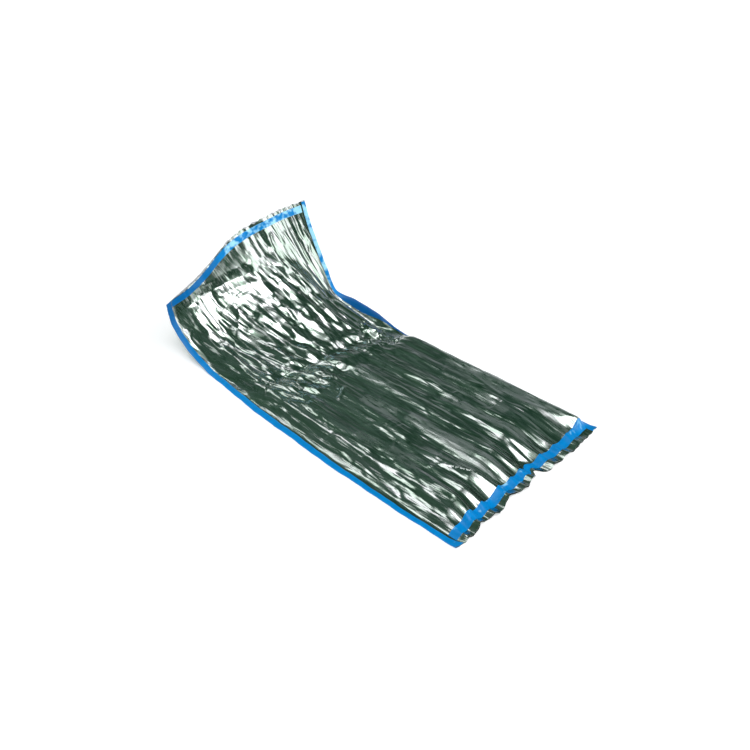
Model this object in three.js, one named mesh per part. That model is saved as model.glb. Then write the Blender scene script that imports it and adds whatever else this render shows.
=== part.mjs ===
// An emergency sleeping bag of metallised film, lying on a flat surface with its head end raised and curled.
// Two film panels are bound along both long sides with folded tape, a flat tape closes the foot,
// another one edges the upper panel at the head, and the mouth between the panels is open there.
// Millimetres, +Z up, +Y from the foot to the head, the origin under the middle of the whole bag.
import * as THREE from "three";

// Cut sizes of the flat bag
const BAG_WIDTH = 1000;
const BAG_LENGTH = 2100;
const HALF_WIDTH = BAG_WIDTH / 2;
const FILM = 1.2;
const TAPE = 1;
const CLEARANCE = 0.3;

// Facets across a tape, its widths, how far each strip lies from the end of the film, its gap to the
// side tapes, where the lower panel starts to step down beside the lower leg, and how far the bound
// edges stand off the floor
const TAPE_FACETS = 2;
const UPPER_LEG = 34;
const LOWER_LEG = UPPER_LEG / TAPE_FACETS;
const FOOT_WIDTH = 42;
const HEAD_WIDTH = 36;
const STRIP_GAP = 1;
const FOOT_FLAP = 32;
const HEAD_FLAP = 16;
const STEP_FROM = LOWER_LEG + 1;
const EDGE_LIFT = 0.5;

// Columns of facets across the panels between the side tapes, and rows along them
const MIDDLE_COLUMNS = 34;
const FLAP_ROWS = 2;
const LYING_ROWS = 13;
const BEND_ROWS = 18;
const HEAD_ROWS = 7;
const BEND = { from: 1000, to: 1700 };

// Air between the panels: height over the lying part, over the bend and at the mouth
const AIR = { leftSide: 40, rightSide: 56, bend: 44, mouth: 30 };
const AIR_ALONG = { bendFrom: 1150, bendFull: 1400, mouthFrom: 1750 };
const LEFT_RISE = { from: 36, full: 140 };
const RIGHT_RISE = { from: 36, full: 320 };
const FOOT_RISE = { leftFrom: 22, leftFull: 130, rightFrom: 56, rightFull: 190 };
const FOOT_CORNER = { from: 4, full: 90, inner: 60, outer: 170 };

// Right border of the lying part: the tape stands on a slope, and the film rolls over above it
const ROLL = { slope: THREE.MathUtils.degToRad(54), from: 6, tapeTop: 38, over: 80, settled: 250 };
const FLAT_SLOPE = 1e-6;
const ROLL_ALONG = { from: 0, full: 80, fade: 1010, end: 1220 };

// Right border of the bend: a furrow beside the edge, so that the tape stands up as a lip
const FURROW = { inset: 50, half: 34, depth: 52 };
const FURROW_ALONG = { from: 1160, full: 1340, fade: 1490, end: 1670 };

// The lie of the lower panel: a row for each section, with its distance from the foot on the flat bag
// and its [x, y, z] at the left edge, a quarter, the middle, three quarters and the right edge.
const section = (along, ...points) => ({ along, points });
const SECTIONS = [
  section(0, [-500, 0, 0], [-250, 0, 0], [0, 0, 0], [250, 0, 0], [500, 0, 0]),
  section(650, [-498, 650, 0], [-250, 650, 0], [0, 650, 0], [250, 650, 0], [498, 650, 0]),
  section(1150, [-475, 1150, 0], [-245, 1150, 0], [0, 1148, 4], [250, 1147, 8], [498, 1150, 0]),
  section(1350, [-460, 1348, 0], [-240, 1350, 4], [0, 1345, 42], [246, 1340, 58], [476, 1335, 72]),
  section(1500, [-442, 1497, 0], [-234, 1498, 24], [0, 1482, 100], [240, 1475, 124], [450, 1470, 111]),
  section(1625, [-430, 1620, 6], [-228, 1620, 54], [0, 1592, 160], [234, 1585, 190], [415, 1574, 138]),
  section(1775, [-430, 1755, 55], [-220, 1755, 117], [0, 1718, 242], [228, 1700, 285], [404, 1637, 264]),
  section(1925, [-430, 1868, 150], [-215, 1862, 217], [0, 1825, 347], [224, 1785, 410], [402, 1715, 425]),
  section(2100, [-425, 1917, 278], [-210, 1930, 352], [0, 1908, 484], [220, 1852, 556], [405, 1786, 594]),
];

// Folds of the upper panel, a row each: from one place on the flat bag to another (across, along),
// how far the fold stands up there or, below zero, sinks, and half its width. They grow to their full
// height over a border beside each side tape.
const FOLD_BORDER = 42;
const FOLDS = [
  { from: [-440, 20], to: [-452, 420], rise: [14, 4], half: 26 },
  { from: [-355, 0], to: [-305, 520], rise: [30, 4], half: 34 },
  { from: [-265, 0], to: [-250, 430], rise: [22, 3], half: 28 },
  { from: [-150, 0], to: [-210, 500], rise: [30, 4], half: 36 },
  { from: [-60, 0], to: [-66, 620], rise: [22, 5], half: 38 },
  { from: [15, 0], to: [10, 380], rise: [20, 2], half: 28 },
  { from: [75, 0], to: [66, 330], rise: [-16, -3], half: 26 },
  { from: [150, 10], to: [138, 560], rise: [18, 4], half: 34 },
  { from: [250, 10], to: [258, 380], rise: [14, 3], half: 30 },
  { from: [345, 20], to: [335, 460], rise: [13, 3], half: 32 },
  { from: [-335, 620], to: [-300, 1120], rise: [7, 5], half: 36 },
  { from: [-170, 560], to: [-110, 1080], rise: [9, 5], half: 40 },
  { from: [40, 480], to: [70, 1120], rise: [8, 6], half: 38 },
  { from: [205, 560], to: [190, 1100], rise: [8, 4], half: 36 },
  { from: [320, 420], to: [310, 1000], rise: [7, 4], half: 34 },
  { from: [330, 1215], to: [-340, 1290], rise: [-15, -9], half: 32 },
  { from: [290, 1130], to: [-230, 1185], rise: [9, 5], half: 34 },
  { from: [350, 1240], to: [300, 1330], rise: [16, 4], half: 30 },
  { from: [-390, 1290], to: [-330, 1640], rise: [11, 6], half: 30 },
  { from: [-290, 1300], to: [-210, 1680], rise: [14, 7], half: 34 },
  { from: [-170, 1290], to: [-80, 1640], rise: [14, 6], half: 36 },
  { from: [-50, 1280], to: [10, 1560], rise: [12, 5], half: 34 },
  { from: [90, 1300], to: [130, 1700], rise: [11, 7], half: 36 },
  { from: [230, 1380], to: [240, 1780], rise: [9, 7], half: 34 },
  { from: [330, 1560], to: [-60, 1700], rise: [-10, -6], half: 36 },
  { from: [40, 1680], to: [30, 2060], rise: [8, 8], half: 34 },
  { from: [180, 1800], to: [190, 2080], rise: [9, 9], half: 32 },
  { from: [-130, 1760], to: [-180, 2060], rise: [8, 6], half: 36 },
];

// Gathers of the foot edge, a row each: where the pleats draw it back or let it reach out
const GATHERS = [
  { across: 74, back: 34, half: 22 },
  { across: 5, back: 10, half: 26 },
  { across: -118, back: 13, half: 22 },
  { across: 290, back: -9, half: 100 },
];
const GATHER_LENGTH = 170;

// The lower panel lies close under the foot's pleats, as a share of their height less some slack, and comes
// down to the floor behind the foot tape.
const UNDER_PLEATS = { share: 0.94, slack: 1, full: 78, end: 150 };

// Metallised film and coloured tape, as they look from a step away
const FILM_FINISH = { color: 0x6f7f74, roughness: 0.22, metalness: 0.95 };
const UNDER_FINISH = { color: 0x8f9894, roughness: 0.25, metalness: 0.95 };
const TAPE_FINISH = { color: 0x0a72d8, roughness: 0.35, metalness: 0 };

const { clamp, lerp, smoothstep } = THREE.MathUtils;
const rails = SECTIONS[0].points.map(
  (_, rail) => new THREE.CatmullRomCurve3(SECTIONS.map((row) => new THREE.Vector3(...row.points[rail]))),
);

// Part of the way along every rail at which a distance from the foot lies.
function railFraction(along) {
  const last = SECTIONS.length - 1;
  let row = 0;
  while (row < last - 1 && along > SECTIONS[row + 1].along) row += 1;
  const span = SECTIONS[row + 1].along - SECTIONS[row].along;
  return clamp((row + (along - SECTIONS[row].along) / span) / last, 0, 1);
}

// How far the pleats draw the foot edge back at a place across the bag.
function gather(across, along) {
  const fade = 1 - smoothstep(along, 0, GATHER_LENGTH);
  const bell = (row) => row.back * Math.exp(-(((across - row.across) / row.half) ** 2));
  return fade * GATHERS.reduce((sum, row) => sum + bell(row), 0);
}

// Depth of the furrow beside the right edge at a place on the flat bag.
function furrow(across, along) {
  const begins = smoothstep(along, FURROW_ALONG.from, FURROW_ALONG.full);
  const ends = 1 - smoothstep(along, FURROW_ALONG.fade, FURROW_ALONG.end);
  const away = (HALF_WIDTH - across - FURROW.inset) / FURROW.half;
  return FURROW.depth * begins * ends * Math.exp(-(away ** 2));
}

// Point of the lie: a curve across the bag through the five rails, never below the floor.
function liePoint(across, along) {
  const fraction = railFraction(along);
  const curve = new THREE.CatmullRomCurve3(rails.map((rail) => rail.getPoint(fraction)));
  const point = curve.getPoint(clamp(across / BAG_WIDTH + 0.5, 0, 1));
  point.y += gather(across, along);
  point.z = Math.max(point.z - furrow(across, along), 0);
  return point;
}

// Directions at a point of a surface given as a function of (across, along): across it, and out of it.
function surfaceFrame(surface, across, along) {
  const step = 1;
  const low = Math.max(across - step, -HALF_WIDTH);
  const high = Math.min(across + step, HALF_WIDTH);
  const near = Math.max(along - step, 0);
  const far = Math.min(along + step, BAG_LENGTH);
  const acrossBag = surface(high, along).sub(surface(low, along)).normalize();
  const alongBag = surface(across, far).sub(surface(across, near)).normalize();
  const out = new THREE.Vector3().crossVectors(acrossBag, alongBag).normalize();
  return { acrossBag, out };
}

// Lower face of the lower panel above the lie: it steps over the tape's lower legs at both sides.
function underTape(across) {
  const inset = HALF_WIDTH - Math.abs(across);
  return (EDGE_LIFT + TAPE + CLEARANCE) * (1 - smoothstep(inset, STEP_FROM, UPPER_LEG));
}

// The right border seen in section: how far in and how high the film has come at a distance from the edge.
function rollSection(inset, slope) {
  if (inset <= ROLL.from || slope < FLAT_SLOPE) return { reach: inset, height: 0 };
  const straight = Math.min(inset, ROLL.tapeTop) - ROLL.from;
  const radius = (ROLL.over - ROLL.tapeTop) / slope;
  const turned = slope * clamp((inset - ROLL.tapeTop) / (ROLL.over - ROLL.tapeTop), 0, 1);
  const across = straight * Math.cos(slope) + radius * (Math.sin(slope) - Math.sin(slope - turned));
  const height = straight * Math.sin(slope) + radius * (Math.cos(slope - turned) - Math.cos(slope));
  return { reach: ROLL.from + across + Math.max(inset - ROLL.over, 0), height };
}

// How strongly the right border stands up at a distance from the foot.
function rollStrength(along) {
  const begins = smoothstep(along, ROLL_ALONG.from, ROLL_ALONG.full);
  return begins * (1 - smoothstep(along, ROLL_ALONG.fade, ROLL_ALONG.end));
}

// Height of a fold at a place on the flat bag: a soft ridge or trough along a straight line.
function foldHeight(fold, across, along) {
  const [startAcross, startAlong] = fold.from;
  const runAcross = fold.to[0] - startAcross;
  const runAlong = fold.to[1] - startAlong;
  const run = runAcross ** 2 + runAlong ** 2;
  const part = clamp(((across - startAcross) * runAcross + (along - startAlong) * runAlong) / run, 0, 1);
  const awayAcross = across - startAcross - part * runAcross;
  const awayAlong = along - startAlong - part * runAlong;
  const away = Math.hypot(awayAcross, awayAlong) / fold.half;
  return lerp(fold.rise[0], fold.rise[1], part) * Math.exp(-(away ** 2));
}

// Height of all the folds at a place on the flat bag: none of them runs under the side tapes.
function foldSum(across, along) {
  const inset = HALF_WIDTH - Math.abs(across);
  const border = smoothstep(inset, UPPER_LEG, UPPER_LEG + FOLD_BORDER);
  return border * FOLDS.reduce((sum, fold) => sum + foldHeight(fold, across, along), 0);
}

// Point of the lower panel's mid surface.
function lowerPanel(across, along) {
  const { out } = surfaceFrame(liePoint, across, along);
  const fade = 1 - smoothstep(along, UNDER_PLEATS.full, UNDER_PLEATS.end);
  const pleat = fade * Math.max(UNDER_PLEATS.share * foldSum(across, along) - UNDER_PLEATS.slack, 0);
  return liePoint(across, along).addScaledVector(out, underTape(across) + FILM / 2 + pleat);
}

// Air between the panels at a place on the flat bag, with the folds of the upper panel.
function airGap(across, along) {
  const side = across / BAG_WIDTH + 0.5;
  const leftInset = across + HALF_WIDTH;
  const rightInset = HALF_WIDTH - across;
  const strength = rollStrength(along);
  const roll = rollSection(rightInset, ROLL.slope).height / rollSection(ROLL.over, ROLL.slope).height;
  const slack = smoothstep(rightInset, RIGHT_RISE.from, RIGHT_RISE.full);
  const lying = lerp(AIR.leftSide, AIR.rightSide, side);
  const bend = smoothstep(along, AIR_ALONG.bendFrom, AIR_ALONG.bendFull);
  const mouth = smoothstep(along, AIR_ALONG.mouthFrom, BAG_LENGTH);
  const full = lerp(lerp(lying, AIR.bend, bend), AIR.mouth, mouth);
  const corner = 1 - smoothstep(rightInset, FOOT_CORNER.inner, FOOT_CORNER.outer);
  const footFrom = lerp(lerp(FOOT_RISE.leftFrom, FOOT_RISE.rightFrom, side), FOOT_CORNER.from, corner);
  const footFull = lerp(lerp(FOOT_RISE.leftFull, FOOT_RISE.rightFull, side), FOOT_CORNER.full, corner);
  const foot = smoothstep(along, footFrom, footFull);
  const left = smoothstep(leftInset, LEFT_RISE.from, LEFT_RISE.full);
  return Math.max(full * foot * left * lerp(slack, roll, strength) + foldSum(across, along), 0);
}

// Point of the upper panel's mid surface.
function upperPanel(across, along) {
  const { acrossBag, out } = surfaceFrame(liePoint, across, along);
  const inset = HALF_WIDTH - across;
  const slope = ROLL.slope * rollStrength(along);
  const settle = 1 - smoothstep(inset, ROLL.over, ROLL.settled);
  const outward = settle * (inset - rollSection(inset, slope).reach);
  const height = underTape(across) + FILM + CLEARANCE + FILM / 2 + airGap(across, along);
  return liePoint(across, along).addScaledVector(out, height).addScaledVector(acrossBag, outward);
}

// The same point, lifted to the floor where it would lie below it.
function onFloor(point) {
  return point.setZ(Math.max(point.z, 0));
}

// Point at a height above a surface, square to it.
function raised(surface, across, along, height) {
  const { out } = surfaceFrame(surface, across, along);
  return onFloor(surface(across, along).addScaledVector(out, height));
}

// Evenly spaced values from one to another, both included.
function spread(from, to, steps) {
  return Array.from({ length: steps + 1 }, (_, step) => lerp(from, to, step / steps));
}

// Columns of facets across a panel: some under each side tape and the rest between them.
function panelColumns() {
  const left = spread(-HALF_WIDTH, -HALF_WIDTH + UPPER_LEG, TAPE_FACETS);
  const right = spread(HALF_WIDTH - UPPER_LEG, HALF_WIDTH, TAPE_FACETS);
  const middle = spread(left.at(-1), right[0], MIDDLE_COLUMNS);
  return [...left.slice(0, -1), ...middle, ...right.slice(1)];
}

const FOOT_STRIP = spread(FOOT_FLAP, FOOT_FLAP + FOOT_WIDTH, TAPE_FACETS);
const HEAD_STRIP = spread(BAG_LENGTH - HEAD_FLAP - HEAD_WIDTH, BAG_LENGTH - HEAD_FLAP, TAPE_FACETS);
const ROWS = [
  ...spread(0, FOOT_FLAP, FLAP_ROWS).slice(0, -1),
  ...FOOT_STRIP,
  ...spread(FOOT_STRIP.at(-1), BEND.from, LYING_ROWS).slice(1, -1),
  ...spread(BEND.from, BEND.to, BEND_ROWS),
  ...spread(BEND.to, HEAD_STRIP[0], HEAD_ROWS).slice(1, -1),
  ...HEAD_STRIP,
  BAG_LENGTH,
];

// Closed sheet between two grids of points with the same rows and columns, the upper one facing out.
// Each four-sided facet is split from its first corner, and in the turned column from its second.
function sheetGeometry(upper, lower, turnedColumn = -1) {
  const rows = upper.length;
  const columns = upper[0].length;
  const points = [...upper.flat(), ...lower.flat()];
  const top = (row, column) => row * columns + column;
  const bottom = (row, column) => rows * columns + top(row, column);
  const index = [];
  const face = (a, b, c, d) => index.push(a, b, c, a, c, d);
  const turned = (a, b, c, d) => face(b, c, d, a);
  for (let row = 0; row + 1 < rows; row += 1) {
    for (let column = 0; column + 1 < columns; column += 1) {
      const facet = column === turnedColumn ? turned : face;
      facet(top(row, column), top(row, column + 1), top(row + 1, column + 1), top(row + 1, column));
      const under = [bottom(row, column), bottom(row + 1, column), bottom(row + 1, column + 1)];
      facet(...under, bottom(row, column + 1));
    }
    face(top(row, 0), top(row + 1, 0), bottom(row + 1, 0), bottom(row, 0));
    const last = columns - 1;
    face(top(row + 1, last), top(row, last), bottom(row, last), bottom(row + 1, last));
  }
  for (let column = 0; column + 1 < columns; column += 1) {
    face(top(0, column + 1), top(0, column), bottom(0, column), bottom(0, column + 1));
    const end = rows - 1;
    face(top(end, column), top(end, column + 1), bottom(end, column + 1), bottom(end, column));
  }
  const geometry = new THREE.BufferGeometry().setFromPoints(points);
  geometry.setIndex(index);
  geometry.computeVertexNormals();
  return geometry;
}

// Film panel that follows a mid surface.
function filmGeometry(surface) {
  const columns = panelColumns();
  const row = (along, height) => columns.map((across) => raised(surface, across, along, height));
  const grid = (height) => ROWS.map((along) => row(along, height));
  return sheetGeometry(grid(FILM / 2), grid(-FILM / 2));
}

// Flat tape across the upper panel at the given rows, cut short of the side tapes at both ends.
function stripGeometry(rows) {
  const columns = panelColumns().filter((across) => Math.abs(across) <= HALF_WIDTH - UPPER_LEG);
  const line = (along, height) => {
    const points = columns.map((across) => raised(upperPanel, across, along, height));
    const cut = (end, next) => end.lerp(next, STRIP_GAP / end.distanceTo(next));
    cut(points[0], points[1]);
    cut(points.at(-1), points.at(-2));
    return points;
  };
  const foot = FILM / 2 + CLEARANCE;
  return sheetGeometry(
    rows.map((along) => line(along, foot + TAPE)),
    rows.map((along) => line(along, foot)),
  );
}

// Tape folded over one long side: a wide leg on the upper panel, a bight past the edge, a short leg beneath.
function sideTapeGeometry(side) {
  const edge = side * HALF_WIDTH;
  const outline = (along, thickness) => {
    const { acrossBag, out } = surfaceFrame(liePoint, edge, along);
    const above = FILM / 2 + CLEARANCE + thickness;
    const over = (inset) => raised(upperPanel, edge - side * inset, along, above);
    const under = (inset) => raised(lowerPanel, edge - side * inset, along, -above);
    const aside = acrossBag.multiplyScalar(side * (CLEARANCE + thickness));
    const bightTop = over(0).add(aside);
    const foot = EDGE_LIFT + TAPE - thickness;
    const bightFoot = onFloor(liePoint(edge, along).addScaledVector(out, foot).add(aside));
    return [over(UPPER_LEG), over(LOWER_LEG), over(0), bightTop, bightFoot, under(0), under(LOWER_LEG)];
  };
  const outer = ROWS.map((along) => outline(along, TAPE));
  const inner = ROWS.map((along) => outline(along, 0));
  const lowerLegColumn = outer[0].length - 2;
  if (side > 0) return sheetGeometry(outer, inner, lowerLegColumn);
  const mirrored = (grid) => grid.map((row) => [...row].reverse());
  return sheetGeometry(mirrored(outer), mirrored(inner), 0);
}

const bag = new THREE.Group();

function addPiece(name, geometry, finish) {
  const piece = new THREE.Mesh(geometry, new THREE.MeshStandardMaterial(finish));
  piece.name = name;
  bag.add(piece);
}

addPiece("lower_film", filmGeometry(lowerPanel), UNDER_FINISH);
addPiece("upper_film", filmGeometry(upperPanel), FILM_FINISH);
addPiece("side_tape_left", sideTapeGeometry(-1), TAPE_FINISH);
addPiece("side_tape_right", sideTapeGeometry(1), TAPE_FINISH);
addPiece("foot_tape", stripGeometry(FOOT_STRIP), TAPE_FINISH);
addPiece("head_tape", stripGeometry(HEAD_STRIP), TAPE_FINISH);

const reach = new THREE.Box3().setFromObject(bag);
const middle = reach.getCenter(new THREE.Vector3());
bag.position.set(-middle.x, -middle.y, -reach.min.z);

export default bag;
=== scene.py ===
"""Looks of an emergency sleeping bag: two panels of metallised film, bound and edged with blue tape.

The bag lies on a pale floor with its head end raised and curled. Each surface is a grid over the flat bag:
"across" runs from the left edge to the right one and is zero in the middle, "along" runs from the foot to the
head. Every size is in metres.
"""

import logging
import math
from dataclasses import dataclass
from enum import Enum
from functools import cached_property

import bpy
import numpy as np
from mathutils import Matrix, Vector


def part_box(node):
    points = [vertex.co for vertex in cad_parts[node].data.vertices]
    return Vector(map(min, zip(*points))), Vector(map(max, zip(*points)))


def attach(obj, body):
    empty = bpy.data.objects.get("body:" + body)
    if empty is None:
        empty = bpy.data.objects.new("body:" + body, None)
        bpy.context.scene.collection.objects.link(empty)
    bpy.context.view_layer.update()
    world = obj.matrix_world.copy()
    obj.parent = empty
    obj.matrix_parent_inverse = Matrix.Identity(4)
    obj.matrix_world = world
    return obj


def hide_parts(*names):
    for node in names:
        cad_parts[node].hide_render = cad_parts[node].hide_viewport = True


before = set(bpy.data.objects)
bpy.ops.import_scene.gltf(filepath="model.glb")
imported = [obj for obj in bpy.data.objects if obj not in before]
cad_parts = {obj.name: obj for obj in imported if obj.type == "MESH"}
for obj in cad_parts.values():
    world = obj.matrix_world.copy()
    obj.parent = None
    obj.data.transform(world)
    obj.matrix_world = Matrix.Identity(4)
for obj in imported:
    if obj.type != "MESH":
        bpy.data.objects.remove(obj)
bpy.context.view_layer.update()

LOG = logging.getLogger("sleeping_bag")

Array = np.ndarray
Random = np.random.Generator
Place = tuple[float, float]
Span = tuple[float, float]
Table = tuple[tuple[float, float], ...]
Triple = tuple[float, float, float]
Colour = tuple[float, float, float, float]
Stops = tuple[float, float, float, float]
Settings = dict[str, object]
Sockets = dict[int | str, object]

# Cut sizes of the flat bag, and the layers that lie on each other at its bound edges
BAG_WIDTH = 1.0
BAG_LENGTH = 2.1
HALF_WIDTH = BAG_WIDTH / 2
LAYER = 0.0012
LAYER_GAP = 0.0003
TAPE_LAYER = 0.001
EDGE_LIFT = 0.0005
UPPER_LEG = 0.034
LOWER_LEG = 0.017
FOOT_WIDTH = 0.042
HEAD_WIDTH = 0.036
FOLD_BORDER = 0.042
FOOT_FLAP = 0.032
HEAD_FLAP = 0.016
HEAD_START = BAG_LENGTH - HEAD_FLAP - HEAD_WIDTH

# Step of differences, slack in comparing places, and the least slope in radians that is worked with
DIFFERENCE_STEP = 0.001
TOLERANCE = 1e-6
LEAST_SLOPE = 1e-6

# Least share of a crease's width on one side of its ridge
LEAST_LEAN = 0.25

# Where a streak starts to fade and where it has faded, in its own half widths
STREAK_EDGE = (0.6, 1.3)

# Roughness of the noise on film and tape
NOISE_ROUGHNESS = 0.55

# Places of the two colours and of the result among the Mix node's sockets, several of which share a name
MIX_FIRST = 6
MIX_SECOND = 7
MIX_RESULT = 2


class Slot(Enum):
    """Material slots of the record."""

    FILM = "film"
    FILM_UNDER = "film_under"
    TAPE = "tape"


class Side(Enum):
    """The two long sides of the bag, by the sign of their place across."""

    LEFT = -1
    RIGHT = 1


@dataclass(frozen=True)
class Grid:
    """Places on the flat bag: those of its columns across and of its rows along, both rising."""

    across: Array
    along: Array

    @property
    def columns(self) -> Array:
        """Places across, of shape (1, columns)."""
        return self.across[None, :]

    @property
    def rows(self) -> Array:
        """Places along, of shape (rows, 1)."""
        return self.along[:, None]

    @property
    def inset(self) -> Array:
        """Distances in from the nearer long side, of shape (1, columns)."""
        return HALF_WIDTH - np.abs(self.columns)

    @property
    def flat(self) -> Array:
        """Both places of each point, of shape (rows, columns, 2)."""
        return np.stack(np.meshgrid(self.across, self.along), axis=-1)

    def zeros(self) -> Array:
        """Zero at each point, of shape (rows, columns)."""
        return np.zeros((len(self.along), len(self.across)))

    def moved(self, across: float, along: float) -> "Grid":
        """The grid moved across and along, and held within the flat bag."""
        columns = np.clip(self.across + across, -HALF_WIDTH, HALF_WIDTH)
        return Grid(columns, np.clip(self.along + along, 0.0, BAG_LENGTH))


@dataclass(frozen=True)
class Section:
    """One row of the lie: a distance from the foot, and five points across the bag from left to right."""

    along: float
    points: tuple[Triple, ...]


@dataclass(frozen=True)
class Line:
    """A straight line between two places on the flat bag."""

    start: Place
    end: Place

    def beside(self, columns: Array, rows: Array) -> tuple[Array, Array, Array, float]:
        """Where the points of a grid lie beside the line.

        Args:
            columns: Places across, of shape (1, columns).
            rows: Places along, of shape (rows, 1).

        Returns:
            Distance run along the line, signed distance from it, share of its length, and its length.
        """
        step_across = self.end[0] - self.start[0]
        step_along = self.end[1] - self.start[1]
        length = math.hypot(step_across, step_along)
        across = columns - self.start[0]
        along = rows - self.start[1]
        run = (across * step_across + along * step_along) / length
        away = (across * step_along - along * step_across) / length
        return run, away, np.clip(run / length, 0.0, 1.0), length

    def near(self, grid: Grid) -> tuple[Array, Array]:
        """Share of the line's length beside each point of a grid, and the point's distance from the line."""
        run, away, part, length = self.beside(grid.columns, grid.rows)
        return part, np.hypot(away, run - part * length)


@dataclass(frozen=True)
class Fold(Line):
    """A ridge, or a trough where the rise is below zero, whose rise changes evenly from start to end.

    A sharp one leans: its left side, looking from its start to its end, takes that share of its width. At its
    start it may be narrower, with only a share of its width.
    """

    rise: Span
    half: float
    lean: float = 0.5
    narrow: float = 1.0


@dataclass(frozen=True)
class Wedge(Line):
    """A streak whose half width changes evenly from its start to its end, and the share that it covers."""

    half: Span
    share: float


@dataclass(frozen=True)
class Gather:
    """A place across the foot edge where the pleats draw it back or let it reach out."""

    across: float
    back: float
    half: float


@dataclass(frozen=True)
class Wave:
    """One sine of a wavy line: its length, how far it swings and where it starts."""

    length: float
    swing: float
    phase: float

    def at(self, place: Array) -> Array:
        """The sine at places along the line."""
        return self.swing * np.sin(2 * math.pi * place / self.length + self.phase)


def rise_and_lean(random: Random, rise: Span, sunk: float) -> tuple[Span, float]:
    """Random rise of a crease, below zero in a share of cases, and a random lean."""
    height = random.uniform(*rise) * (-1.0 if random.random() < sunk else 1.0)
    return (height, height), random.uniform(LEAST_LEAN, 1.0 - LEAST_LEAN)


@dataclass(frozen=True)
class CreaseZone:
    """A stretch of a panel with fine creases strewn over it.

    The turn is the spread of their angles to the bag's length, in radians, and a share of them is sunk.
    """

    across: Span
    along: Span
    count: int
    length: Span
    half: Span
    rise: Span
    turn: float
    sunk: float

    def draw(self, random: Random) -> list[Fold]:
        """Creases at random places, each turned a little from the bag's length.

        Args:
            random: Source of random numbers.

        Returns:
            The creases.
        """
        creases = []
        for _ in range(self.count):
            across, along = random.uniform(*self.across), random.uniform(*self.along)
            turn = random.normal(0.0, self.turn)
            reach = random.uniform(*self.length) / 2
            step_across, step_along = reach * math.sin(turn), reach * math.cos(turn)
            start = (across - step_across, along - step_along)
            end = (across + step_across, along + step_along)
            rise, lean = rise_and_lean(random, self.rise, self.sunk)
            creases.append(Fold(start, end, rise, random.uniform(*self.half), lean))
        return creases


@dataclass(frozen=True)
class CreaseLanes:
    """A stretch of a panel whose creases lie side by side in slanting lanes, end to end in each lane.

    The slant is how far a lane moves across for each metre towards the head, and a share of creases is sunk.
    """

    across: Span
    along: Span
    width: Span
    length: Span
    rise: Span
    slant: float
    sunk: float

    def draw(self, random: Random) -> list[Fold]:
        """Creases of all lanes, each of a random length, rise and lean.

        Args:
            random: Source of random numbers.

        Returns:
            The creases, lane by lane.
        """
        creases = []
        middle = sum(self.along) / 2
        place = self.across[0]
        while place < self.across[1]:
            width = random.uniform(*self.width)
            near = self.along[0] - random.uniform(0.0, self.length[0])
            while near < self.along[1]:
                far = near + random.uniform(*self.length)
                start, end = ((place + self.slant * (spot - middle), spot) for spot in (near, far))
                rise, lean = rise_and_lean(random, self.rise, self.sunk)
                creases.append(Fold(start, end, rise, width / 2, lean))
                near = far
            place += width
        return creases


# The lie, from the foot to the head
SECTIONS = (
    Section(0.0, ((-0.5, 0, 0), (-0.25, 0, 0), (0, 0, 0), (0.25, 0, 0), (0.5, 0, 0))),
    Section(0.65, ((-0.498, 0.65, 0), (-0.25, 0.65, 0), (0, 0.65, 0), (0.25, 0.65, 0), (0.498, 0.65, 0))),
    Section(1.15, ((-0.475, 1.15, 0), (-0.245, 1.15, 0), (0, 1.148, 0.004), (0.25, 1.147, 0.008),
                   (0.498, 1.15, 0))),
    Section(1.35, ((-0.46, 1.348, 0), (-0.24, 1.35, 0.004), (0, 1.345, 0.042), (0.246, 1.34, 0.058),
                   (0.476, 1.335, 0.072))),
    Section(1.5, ((-0.442, 1.497, 0), (-0.234, 1.498, 0.024), (0, 1.482, 0.1), (0.24, 1.475, 0.124),
                  (0.45, 1.47, 0.111))),
    Section(1.625, ((-0.43, 1.62, 0.006), (-0.228, 1.62, 0.054), (0, 1.592, 0.16), (0.234, 1.585, 0.19),
                    (0.415, 1.574, 0.138))),
    Section(1.775, ((-0.43, 1.755, 0.055), (-0.22, 1.755, 0.117), (0, 1.718, 0.242), (0.228, 1.7, 0.285),
                    (0.404, 1.637, 0.264))),
    Section(1.925, ((-0.43, 1.868, 0.15), (-0.215, 1.862, 0.217), (0, 1.825, 0.347), (0.224, 1.785, 0.41),
                    (0.402, 1.715, 0.425))),
    Section(2.1, ((-0.425, 1.917, 0.278), (-0.21, 1.93, 0.352), (0, 1.908, 0.484), (0.22, 1.852, 0.556),
                  (0.405, 1.786, 0.594))),
)

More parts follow.
